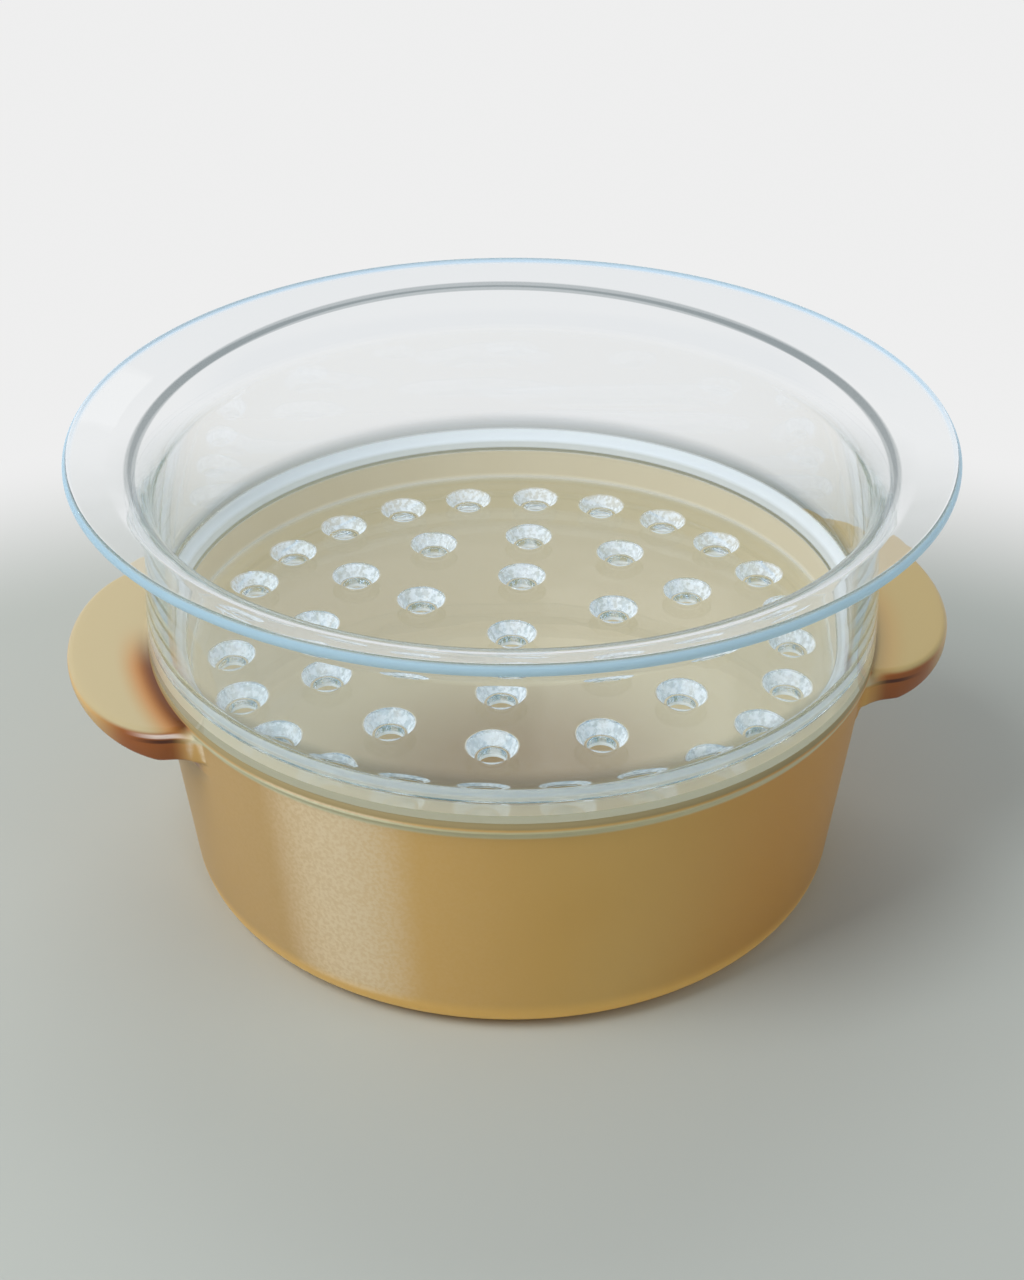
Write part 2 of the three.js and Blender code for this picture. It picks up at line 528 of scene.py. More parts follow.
@dataclass(frozen=True)
class AmberGlassCeramic:
    """The pot's finish: satin gold, deep amber at its edges, khaki inside, with painted shade, sheen,
    glow and highlights.

    A span gives where a blend starts and where it is full, in millimetres, as shares of a lug's reach
    or along a direction. Front is -Y and left is -X.
    """

    gold: Colour = srgb(225, 176, 94)
    gold_pale: Colour = srgb(228, 183, 105)
    # Painted shade by side: a darker gold for the wall's left side, a darker, deeper gold for its right.
    gold_shaded_left: Colour = srgb(198, 157, 92)
    gold_shaded_right: Colour = srgb(214, 155, 74)
    # Painted sheen: the pale colour of a reflection on the wall's front left.
    painted_sheen: Colour = srgb(246, 222, 183)
    # Painted glow: a brighter gold low on the wall, near its foot.
    glow: Colour = srgb(246, 199, 107)
    foot: Colour = srgb(120, 60, 22)
    # Painted highlight: a pale green line along the lip's lower curve.
    lip_painted_highlight: Colour = srgb(216, 220, 186)
    lip: Colour = srgb(168, 148, 104)
    khaki: Colour = srgb(198, 180, 138)
    # Painted shade: the right lug's top is a darker khaki.
    khaki_shaded_right: Colour = srgb(194, 168, 112)
    # Painted shadow at the front of the lugs' roots: brown next to the glass, orange further out.
    shadow_orange: Colour = srgb(196, 124, 52)
    shadow_brown: Colour = srgb(104, 58, 28)
    edge: Colour = srgb(160, 88, 34)
    # Painted highlight and painted dark line along the lugs' front flanks.
    flank_highlight: Colour = srgb(250, 226, 212)
    flank_dark_line: Colour = srgb(84, 38, 16)
    rim: Colour = srgb(220, 178, 108)
    inside: Colour = srgb(150, 138, 104)
    # Painted shade and glow in the cavity: its floor darker towards the middle, and light given off that
    # is weaker there.
    inside_shaded_middle: Colour = srgb(150, 126, 92)
    lit_inside: Colour = srgb(154, 148, 126)
    lit_deep: Colour = srgb(78, 64, 40)
    # Painted glow given off by the wall near its foot.
    lit_foot: Colour = srgb(84, 58, 18)
    lit_span: Span = (20.0, 90.0)
    up_facing: Span = (0.25, 0.8)
    shaded_left_span: Span = (0.4, 0.75)
    shaded_right_span: Span = (0.1, 0.65)
    cloud_scale: float = 9.0
    cloud_span: Span = (0.35, 0.7)
    sheen_turn: float = math.radians(-125.5)
    sheen_far: float = math.radians(15.5)
    sheen_near: float = math.radians(2)
    sheen_tail: float = math.radians(36)
    sheen_tail_share: float = 0.15
    sheen_scale: float = 800.0
    sheen_detail: float = 3.0
    sheen_grain: Span = (0.35, 0.65)
    sheen_plain: float = 0.7
    foot_height: float = 1.6
    glow_span: Span = (3.6, 12.0)
    lip_highlight_height: float = 78.9
    lip_highlight_span: Span = (1.1, 2.2)
    painted_highlight_share: float = 0.7
    lip_span: Span = (80.8, 81.6)
    flank_highlight_height: float = 78.7
    flank_dark_line_drop: float = 1.7
    flank_line_span: Span = (0.36, 0.9)
    flank_line_front: Span = (32.0, 41.0)
    flank_line_reach: Span = (0.3, 0.65)
    root_shadow_front: Span = (-14.0, 16.0)
    root_shadow_reach: Span = (0.08, 0.45)
    root_shadow_hue: Span = (0.0, 0.25)
    root_shadow_right: float = 0.3
    rim_reach: Span = (0.6, 0.95)
    side_half: float = 10 * MM
    roughness: float = 0.36
    specular: float = 0.3
    coat: float = 0.08
    edge_coat: float = 0.3
    coat_roughness: float = 0.1
    grain_scale: float = 900.0
    grain_depth: float = 0.00002

    def material(self) -> bpy.types.Material:
        """Builds the finish.

        Returns:
            The material.
        """
        material, bench = new_material(Slot.AMBER.value)
        place = bench.add("ShaderNodeTexCoord")
        axes = bench.split(place["Object"])
        height = axes["Z"] / MM
        cavity = Mask.CAVITY.field(bench)
        root = Mask.ROOT.field(bench)
        facing = bench.split(place["Normal"])["Z"].rise(*self.up_facing)
        body = self._body(bench, place, height, root)
        lug = self._lug(bench, facing, axes, Mask.LUG.field(bench))
        skin = bench.blend(body, lug, root)
        # Painted shade: the cavity's floor is darker and warmer towards its middle.
        outwards = ((axes["X"] ** 2 + axes["Y"] ** 2) ** 0.5 / MM).rise(*self.lit_span)
        skin = bench.blend(skin, bench.blend(self.inside_shaded_middle, self.inside, outwards), cavity)
        # Painted glow: the wall gives off a faint amber light near its foot.
        lit = bench.blend(self.lit_foot, BLACK, height.rise(*self.glow_span))
        # Painted glow: the cavity gives off light, weaker towards the middle of its floor.
        lit = bench.blend(lit, bench.blend(self.lit_deep, self.lit_inside, outwards), cavity)
        grain = bench.noise(place["Object"], self.grain_scale)
        relief = bench.add("ShaderNodeBump", None, {"Distance": self.grain_depth, "Height": grain})
        surface = bench.add(
            "ShaderNodeBsdfPrincipled",
            None,
            {
                "Base Color": skin,
                "Emission Color": lit,
                "Emission Strength": 1.0,
                "Roughness": self.roughness,
                "Specular IOR Level": self.specular,
                "Coat Weight": root * (1 - facing) * (self.edge_coat - self.coat) + self.coat,
                "Coat Roughness": self.coat_roughness,
                "Normal": relief["Normal"],
            },
        )
        bench.add("ShaderNodeOutputMaterial", None, {"Surface": surface["BSDF"]})
        return material

    def _body(self, bench: Bench, place: Outputs, height: Field, root: Field) -> Field:
        """The colour of the wall, from its foot to its lip, with painted shade, sheen, glow and
        highlight.

        Args:
            bench: The node tree.
            place: Where the surface is, and how it faces.
            height: The height above the base, in millimetres.
            root: 1 on the lugs, 0 on the wall.

        Returns:
            The colour.
        """
        clouds = bench.noise(place["Object"], self.cloud_scale)
        body = bench.blend(self.gold, self.gold_pale, clouds.rise(*self.cloud_span))
        aside = bench.split(place["Normal"])["X"]
        # Painted shade by side: darker gold where the wall faces left, darker and deeper gold where it
        # faces right.
        body = bench.blend(body, self.gold_shaded_left, (0 - aside).rise(*self.shaded_left_span))
        body = bench.blend(body, self.gold_shaded_right, aside.rise(*self.shaded_right_span))
        # Painted sheen on the wall's front left.
        body = bench.blend(body, self.painted_sheen, self._painted_sheen(bench, place))
        # Painted glow: the wall turns a brighter gold near its foot.
        body = bench.blend(self.glow, body, height.rise(*self.glow_span))
        body = bench.blend(self.foot, body, height.rise(0, self.foot_height))
        # Painted highlight: a pale green line just under the lip, off the lugs.
        shine = 1 - (height - self.lip_highlight_height).size().rise(*self.lip_highlight_span)
        body = bench.blend(body, self.lip_painted_highlight, shine * (1 - root) * self.painted_highlight_share)
        return bench.blend(body, self.lip, height.rise(*self.lip_span))

    def _lug(self, bench: Bench, facing: Field, axes: Outputs, reach: Field) -> Field:
        """The lugs' colour: khaki on top with painted shade and shadow, amber at the edge with painted
        lines of light and shade.

        Args:
            bench: The node tree.
            facing: 1 where the surface looks up.
            axes: Where the surface is.
            reach: How far out on a lug the surface is.

        Returns:
            The colour.
        """
        nearer = 0 - axes["Y"] / MM
        left = 1 - axes["X"].rise(-self.side_half, self.side_half)
        # Painted shade: a darker khaki on the right lug's top.
        top = bench.blend(self.khaki_shaded_right, self.khaki, left)
        # Painted shadow: brown to orange at the front of the root, next to the glass, weaker on the right
        # lug.
        root_shadow = bench.blend(self.shadow_brown, self.shadow_orange, reach.rise(*self.root_shadow_hue))
        front = nearer.rise(*self.root_shadow_front) * (1 - reach.rise(*self.root_shadow_reach))
        top = bench.blend(top, root_shadow, front * (left * (1 - self.root_shadow_right) + self.root_shadow_right))
        edge = bench.blend(self.edge, self.rim, reach.rise(*self.rim_reach))
        # Painted highlight along the left lug's front flank, and a painted dark line under it on both
        # lugs.
        over = axes["Z"] / MM - self.flank_highlight_height
        near = nearer.rise(*self.flank_line_front) * (1 - reach.rise(*self.flank_line_reach))
        lines = ((self.flank_dark_line, self.flank_dark_line_drop, near), (self.flank_highlight, 0.0, near * left))
        for colour, drop, where in lines:
            line = 1 - (over + drop).size().rise(*self.flank_line_span)
            edge = bench.blend(edge, colour, line * where)
        return bench.blend(edge, top, facing)

    def _painted_sheen(self, bench: Bench, place: Outputs) -> Field:
        """A painted sheen: a paler, grainy stretch on the wall's front left, standing in for a
        reflection.

        Args:
            bench: The node tree.
            place: Where the surface is, and how it faces.

        Returns:
            How much of the sheen there is.
        """
        way = (math.cos(self.sheen_turn), math.sin(self.sheen_turn), 0)
        near = bench.along(place["Normal"], way)
        grain = bench.noise(place["Object"], self.sheen_scale, self.sheen_detail).rise(*self.sheen_grain)
        tail = near.rise(math.cos(self.sheen_tail), 1) * self.sheen_tail_share
        middle = near.rise(math.cos(self.sheen_far), math.cos(self.sheen_near))
        whole = middle * (1 - self.sheen_tail_share) + tail
        return whole * (grain * (1 - self.sheen_plain) + self.sheen_plain)


@dataclass(frozen=True)
class ClearGlass:
    """The insert's finish: clear pressed glass, faintly blue through its depth; a painted blue reflection
    at its edge.

    A dull veil lies over its frosted holes with a painted glow, over the shoulder that catches the light
    as a painted highlight, over the spigot and the seat, where it paints the pot's colour as seen through
    the glass, and thinly over the flange's edge as a painted blue reflection. Dim tints paint dark lines
    into the glass.
    """

    tint: Colour = (0.985, 0.992, 0.995)
    # Painted dark lines: the dim tint of the glass at its crease, lower wall and bend.
    dim_tint: Colour = (0.34, 0.38, 0.39)
    # Painted reflection: a pale blue tint, veil and glow on the flange's edge.
    edge_reflection_tint: Colour = (0.72, 0.84, 0.96)
    edge_reflection_colour: Colour = srgb(176, 210, 234)
    edge_reflection_glow: Colour = srgb(112, 136, 150)
    depth_colour: Colour = srgb(170, 214, 236)
    depth_density: float = 9.0
    ior: float = 1.49
    frost_roughness: float = 0.2
    frost_colour: Colour = srgb(238, 244, 248)
    # Painted glow given off by the veil on the frosted holes and the painted highlights.
    frost_light: Colour = srgb(120, 130, 138)
    frost_share: float = 0.8
    frost_scale: float = 620.0
    frost_detail: float = 3.0
    frost_speckle: Span = (0.38, 0.62)
    frost_plain: float = 0.55
    painted_highlight_share: float = 0.75
    # Painted view of the pot on the spigot, with a painted glow.
    pot_view_colour: Colour = srgb(212, 204, 182)
    pot_view_glow: Colour = srgb(122, 116, 100)
    pot_view_share: float = 0.8
    # Painted view of the pot: an olive veil on the seat.
    seat_colour: Colour = srgb(172, 163, 127)
    seat_share: float = 0.9
    shade: Colour = (0.9, 0.92, 0.93)
    wave_scale: float = 55.0
    wave_detail: float = 1.0
    wave_depth: float = 0.00006
    bend_heights: Span = (124.0, 127.0)
    bend_r: float = 113.0
    bend_far: float = 0.905
    bend_side: float = 0.725
    bend_half: float = 0.036
    bend_soft: Span = (0.6, 1.1)

    def material(self) -> bpy.types.Material:
        """Builds the finish.

        Returns:
            The material.
        """
        material, bench = new_material(Slot.CLEAR.value)
        place = bench.add("ShaderNodeTexCoord")
        frost, warm, seat, edge = (
            mask.field(bench) for mask in (Mask.FROST, Mask.PAINTED_POT_VIEW, Mask.SEAT, Mask.EDGE)
        )
        waves = bench.noise(place["Object"], self.wave_scale, self.wave_detail)
        relief = bench.add("ShaderNodeBump", None, {"Distance": self.wave_depth, "Height": waves})
        # Painted dark lines: the glass is dimmed at the crease, on the lower wall and along the flange's
        # bend.
        dim = Mask.DIM.field(bench).either(self._bend(bench, place))
        tint = bench.blend(self.tint, self.dim_tint, dim)
        clear = bench.add(
            "ShaderNodeBsdfPrincipled",
            None,
            {
                "Base Color": bench.blend(tint, self.edge_reflection_tint, edge),
                "Roughness": frost * self.frost_roughness,
                "IOR": self.ior,
                "Transmission Weight": 1.0,
                "Normal": relief["Normal"],
            },
        )
        speckle = bench.noise(place["Object"], self.frost_scale, self.frost_detail)
        speckle = speckle.rise(*self.frost_speckle) * (1 - self.frost_plain) + self.frost_plain
        share = frost * self.frost_share * speckle
        # Painted highlight: a white veil on the shoulder, low in the bores and on the flange's edge.
        share = share + Mask.PAINTED_HIGHLIGHT.field(bench) * self.painted_highlight_share
        share = share + warm * self.pot_view_share + seat * self.seat_share
        glass = bench.mix(share, clear["BSDF"], self._veil(bench, warm, edge, seat))
        # Lamps shine through, so the glass throws only a faint shade.
        open_glass = bench.add("ShaderNodeBsdfTransparent", None, {"Color": self.shade})
        path = bench.add("ShaderNodeLightPath")
        lets_through = path["Is Shadow Ray"].either(path["Is Diffuse Ray"])
        both = bench.mix(lets_through, glass, open_glass["BSDF"])
        inside = {"Color": self.depth_colour, "Density": self.depth_density}
        depth = bench.add("ShaderNodeVolumeAbsorption", None, inside)
        bench.add("ShaderNodeOutputMaterial", None, {"Surface": both, "Volume": depth["Volume"]})
        return material

    def _veil(self, bench: Bench, warm: Field, edge: Field, seat: Field) -> Field:
        """The dull veil, white with a painted glow where no other mask colours it.

        Args:
            bench: The node tree.
            warm: 1 on the spigot.
            edge: 1 on the flange's edge.
            seat: 1 on the seat.

        Returns:
            Its shader.
        """
        # The veil is white with a painted glow, unless a mask below paints it otherwise.
        colour: Field | Colour = self.frost_colour
        light: Field | Colour = self.frost_light
        layers = (
            (warm, self.pot_view_colour, self.pot_view_glow),
            (edge, self.edge_reflection_colour, self.edge_reflection_glow),
            (seat, self.seat_colour, BLACK),
        )
        for where, layer_colour, layer_light in layers:
            colour = bench.blend(colour, layer_colour, where)
            light = bench.blend(light, layer_light, where)
        inputs = {"Base Color": colour, "Emission Color": light, "Emission Strength": 1.0}
        return bench.add("ShaderNodeBsdfPrincipled", None, inputs)["BSDF"]

    def _bend(self, bench: Bench, place: Outputs) -> Field:
        """A painted dark line where the flange bends down into the wall, lower at the sides.

        Args:
            bench: The node tree.
            place: Where the surface is, and how it faces.

        Returns:
            1 on the line, 0 away from it.
        """
        axes = bench.split(place["Object"])
        facing = bench.split(place["Normal"])["Z"]
        aside = (axes["X"] / (self.bend_r * MM)) ** 2
        off = (facing - self.bend_far + aside * (self.bend_far - self.bend_side)).size()
        line = 1 - (off / (aside * self.bend_half + self.bend_half)).rise(*self.bend_soft)
        return line * (axes["Z"] / MM).rise(*self.bend_heights)


# The two shells


@dataclass(frozen=True)
class LugRow:
    """One row of a lug's section.

    It lies at a share of the flat's width or at an inset from the edge, a share of the thickness
    below the top, and a lift above that. Where the lug has run out, it lies on the wall, at a share
    of the band's height.
    """

    share: float
    inset: float
    below: float
    lift: float
    on_wall: float


@dataclass
class Pot:
    """The glass-ceramic pot with its rim lip and two lug handles.

    Overall sizes come from the frame, in millimetres, and the rest follows them. The lug's section
    keeps to the wall where the lug has run out: its underside up to under_end, a share of the band's
    height, and the two halves of its edge from there to edge_low_end and from edge_high_start to
    edge_high_end.
    """

    height: float
    lip_r: float
    lug_tip: float
    finish: AmberGlassCeramic = field(default_factory=AmberGlassCeramic)
    lip_height: float = 4.6
    lip_overhang: float = 1.4
    lip_round: float = 2.0
    taper: float = 9.2
    wall: float = 4.2
    floor: float = 5.5
    corner_round: float = 10.0
    floor_round: float = 7.5
    mouth_round: float = 1.4
    lug_half_width: float = 49.0
    lug_root_fillet: float = 13.0
    lug_drop: float = 2.4
    lug_tip_thickness: float = 4.4
    lug_root_thickness: float = 11.0
    lug_edge: float = 2.1
    lug_fairing: float = 0.8
    lug_under_fillet: float = 4.0
    lug_fade: float = 9.0
    lug_join: float = 2.0
    lug_hue: float = 7.0
    lip_ease: float = 0.2
    under_fillet_share: float = 0.3
    under_end: float = 0.25
    edge_low_end: float = 0.4
    edge_high_start: float = 0.7
    edge_high_end: float = 0.9
    longest_step: float = 6.0
    band_gap: float = 1.0
    under_steps: int = 10
    edge_steps: int = 6
    top_steps: int = 10
    root_before: float = math.radians(4)
    root_after: float = math.radians(1)
    lug_columns: int = 24
    root_columns: int = 30
    wall_columns: int = 20

    @classmethod
    def from_frame(cls) -> Pot:
        """Takes the overall sizes from the frame's node."""
        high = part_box(ShellName.POT.value)[1]
        return cls(high.z / MM, high.y / MM, high.x / MM)

    @property
    def wall_top_r(self) -> float:
        """Radius of the wall under the lip."""
        return self.lip_r - self.lip_overhang

    @property
    def wall_bottom_r(self) -> float:
        """Radius of the wall carried down to the base."""
        return self.wall_top_r - self.taper

    @property
    def lug_top(self) -> float:
        """Height of the lugs' flat top."""
        return self.height - self.lug_drop

    @property
    def lug_low(self) -> float:
        """Height where the lugs' underside runs out into the wall."""
        return self.lug_top - self.lug_root_thickness - self.lug_under_fillet

    def wall_radius(self, z: float) -> float:
        """Radius of the round outer wall, lip included.

        Args:
            z: The height to measure at.

        Returns:
            The radius.
        """
        under_lip = self.height - self.lip_height
        line = self.wall_bottom_r + self.taper * min(z / under_lip, 1.0)
        lip = smoothstep(under_lip - self.lip_ease, under_lip + self.lip_overhang + self.lip_ease, z)
        return line + self.lip_overhang * lip

    @property
    def lug_fillet_at(self) -> Vector:
        """Middle of the hollow fillet between a lug's side and the wall, seen from above."""
        across = self.lug_half_width + self.lug_root_fillet
        return Vector((math.sqrt((self.wall_top_r + self.lug_root_fillet) ** 2 - across**2), across))

    def lug_radius(self, angle: float, inset: float) -> float:
        """How far a lug's outline reaches from the pot's axis.

        Args:
            angle: The angle from the nearer lug's middle.
            inset: How far inside the lug's edge to measure.

        Returns:
            The distance, or 0 beyond the lug's root.
        """
        fillet = self.lug_fillet_at
        root = math.atan2(fillet.y, fillet.x)
        if abs(angle) >= root:
            return 0.0
        half = self.lug_half_width - inset
        if abs(angle) > math.atan2(half, fillet.x):
            off = abs(angle) - root
            round_r = self.lug_root_fillet + inset
            return fillet.length * math.cos(off) - math.sqrt(
                round_r**2 - (fillet.length * math.sin(off)) ** 2
            )
        deep = self.lug_tip - fillet.x - inset
        square = (math.cos(angle) / deep) ** 2 + (math.sin(angle) / half) ** 2
        middle = fillet.x * math.cos(angle) / deep**2
        rest = (fillet.x / deep) ** 2 - 1
        return (middle + math.sqrt(max(0.0, middle**2 - square * rest))) / square

    def lug_thickness(self, x: float) -> float:
        """Thickness of a lug, which grows from its tip to the wall.

        Args:
            x: How far from the pot's axis to measure.

        Returns:
            The thickness.
        """
        from_tip = (self.lug_tip - abs(x)) / (self.lug_tip - self.wall_top_r)
        grown = min(max(from_tip, 0.0), 1.0)
        return self.lug_tip_thickness + (self.lug_root_thickness - self.lug_tip_thickness) * grown

    def lug_section(self) -> list[LugRow]:
        """The lug's section.

        Returns:
            Rows from the root of the underside, round the edge, to the root of the top.
        """
        rows: list[LugRow] = []
        edge = self.lug_edge
        for share in spread(0, 1, self.under_steps):
            fillet = self.lug_under_fillet * max(0.0, 1 - share / self.under_fillet_share) ** 2
            rows.append(LugRow(share, edge, 1.0, -fillet, self.under_end * share))
        for turn in spread(-math.pi / 2, 0, self.edge_steps):
            rise = 1 + math.sin(turn)
            on_wall = self.under_end + (self.edge_low_end - self.under_end) * rise
            rows.append(LugRow(1.0, edge * (1 - math.cos(turn)), 1.0, edge * rise, on_wall))
        for turn in spread(0, math.pi / 2, self.edge_steps):
            fall = 1 - math.sin(turn)
            on_wall = self.edge_high_end - (self.edge_high_end - self.edge_high_start) * fall
            rows.append(LugRow(1.0, edge * (1 - math.cos(turn)), 0.0, -edge * fall, on_wall))
        for share in [*spread(1, 0, self.top_steps), 0.0]:
            rows.append(LugRow(share, edge, 0.0, 0.0, 1.0 - (1.0 - self.edge_high_end) * share))
        return rows

    def angles(self) -> list[float]:
        """Angles of the mesh's columns, closer together where the lugs run out into the wall.

        Returns:
            The angles of one round.
        """
        fillet = self.lug_fillet_at
        near = math.atan2(self.lug_half_width, fillet.x) - self.root_before
        far = math.atan2(fillet.y, fillet.x) + self.root_after
        quarter = [
            *spread(0, near, self.lug_columns),
            *spread(near, far, self.root_columns),
            *spread(far, math.pi / 2, self.wall_columns),
        ]
        half = quarter + [math.pi - a for a in reversed(quarter[1:])]
        half.insert(len(quarter), math.pi / 2)
        return half + [math.pi + a for a in half]

    def build(self) -> bpy.types.Object:
        """Builds the pot's shell and dresses it.

        Returns:
            The pot.
        """
        shell = Shell()
        angles = self.angles()
        low = self._lower_outline()
        high = self._upper_outline()
        pole = shell.point(Vector((0, 0, 0)), Vector((0, 0, -1)))
        rings = [shell.ring(station, angles) for station in low]
        rings += self._lug_band(shell, angles)
        rim_r = self.wall_top_r - self.wall + self.mouth_round
        for station in high:
            inner = 1.0 if station.r < rim_r else 0.0
            rings.append(shell.ring(station, angles, values={Mask.CAVITY: inner}))
        floor_middle = Vector((0, 0, self.floor))
        middle = shell.point(floor_middle, Vector((0, 0, 1)), {Mask.CAVITY: 1.0})
        shell.fan(pole, rings[0], upwards=False)
        for below, above in zip(rings, rings[1:]):
            shell.bridge(below, above)
        shell.fan(middle, rings[-1], upwards=True)
        piece = shell.finish(ShellName.POT, exact_normals=False)
        piece.data.materials.append(self.finish.material())
        return piece

    def _lower_outline(self) -> list[Station]:
        """The outside from the base up to the lugs.

        Returns:
            Its stations.
        """
        edge = Corner(self.wall_bottom_r, 0, self.corner_round)
        end = Corner(self.wall_radius(self.lug_low), self.lug_low)
        arc = rounded_outline([Corner(0, 0), edge, end])
        last = arc[-1]
        start = Station(self.longest_step, 0, 0, -1)
        close = self.lug_low - self.band_gap
        stop = Station(self.wall_radius(close), close, last.out_r, last.out_z)
        return subdivided([start, *arc, stop], self.longest_step)

    def _upper_outline(self) -> list[Station]:
        """From the lugs' top over the rim and down the inside to the middle of the floor.

        Returns:
            Its stations.
        """
        mouth_r = self.wall_top_r - self.wall
        under_lip = self.height - self.lip_height
        corners = [
            Corner(self.lip_r, self.lug_top),
            Corner(self.lip_r, self.height, self.lip_round),
            Corner(mouth_r, self.height, self.mouth_round),
            Corner(mouth_r, under_lip, self.lip_height),
            Corner(self.wall_bottom_r - self.wall, self.floor, self.floor_round),
            Corner(0, self.floor),
        ]
        end = Station(self.longest_step, self.floor, 0, 1)
        return subdivided([*rounded_outline(corners), end], self.longest_step)

    def _lug_band(self, shell: Shell, angles: Sequence[float]) -> list[list[int]]:
        """The band of wall that swells into the two lugs.

        Args:
            shell: The mesh in the making.
            angles: The angles of its columns.

        Returns:
            The band's rings, from below.
        """
        rings: list[list[int]] = []
        for row in self.lug_section():
            z_wall = self.lug_low + (self.lug_top - self.lug_low) * row.on_wall
            root_r = self.wall_radius(self.lug_top - row.below * self.lug_root_thickness)
            ring = []
            for angle in angles:
                off = math.remainder(angle, math.pi)
                out = self.lug_radius(off, 0) - self.wall_top_r
                grown = smoothstep(0, self.lug_fade, out)
                edge_r = soft_max(self.lug_radius(off, row.inset), root_r, self.lug_fairing)
                lug_r = root_r + row.share * (edge_r - root_r)
                thickness = self.lug_thickness(lug_r * math.cos(off))
                z_lug = self.lug_top - row.below * thickness + row.lift
                z = z_wall + (z_lug - z_wall) * grown
                wall_r = self.wall_radius(z)
                r = wall_r + max(0.0, lug_r - wall_r) * smoothstep(0, self.lug_join, out)
                way = Vector((math.cos(angle), math.sin(angle), 0))
                reach = (r - self.lip_r) / (self.lug_tip - self.lip_r)
                values = {Mask.LUG: max(0.0, reach), Mask.ROOT: smoothstep(0.0, self.lug_hue, out)}
                ring.append(shell.point(way * r + Vector((0, 0, z)), way, values))
            rings.append(ring)
        return rings


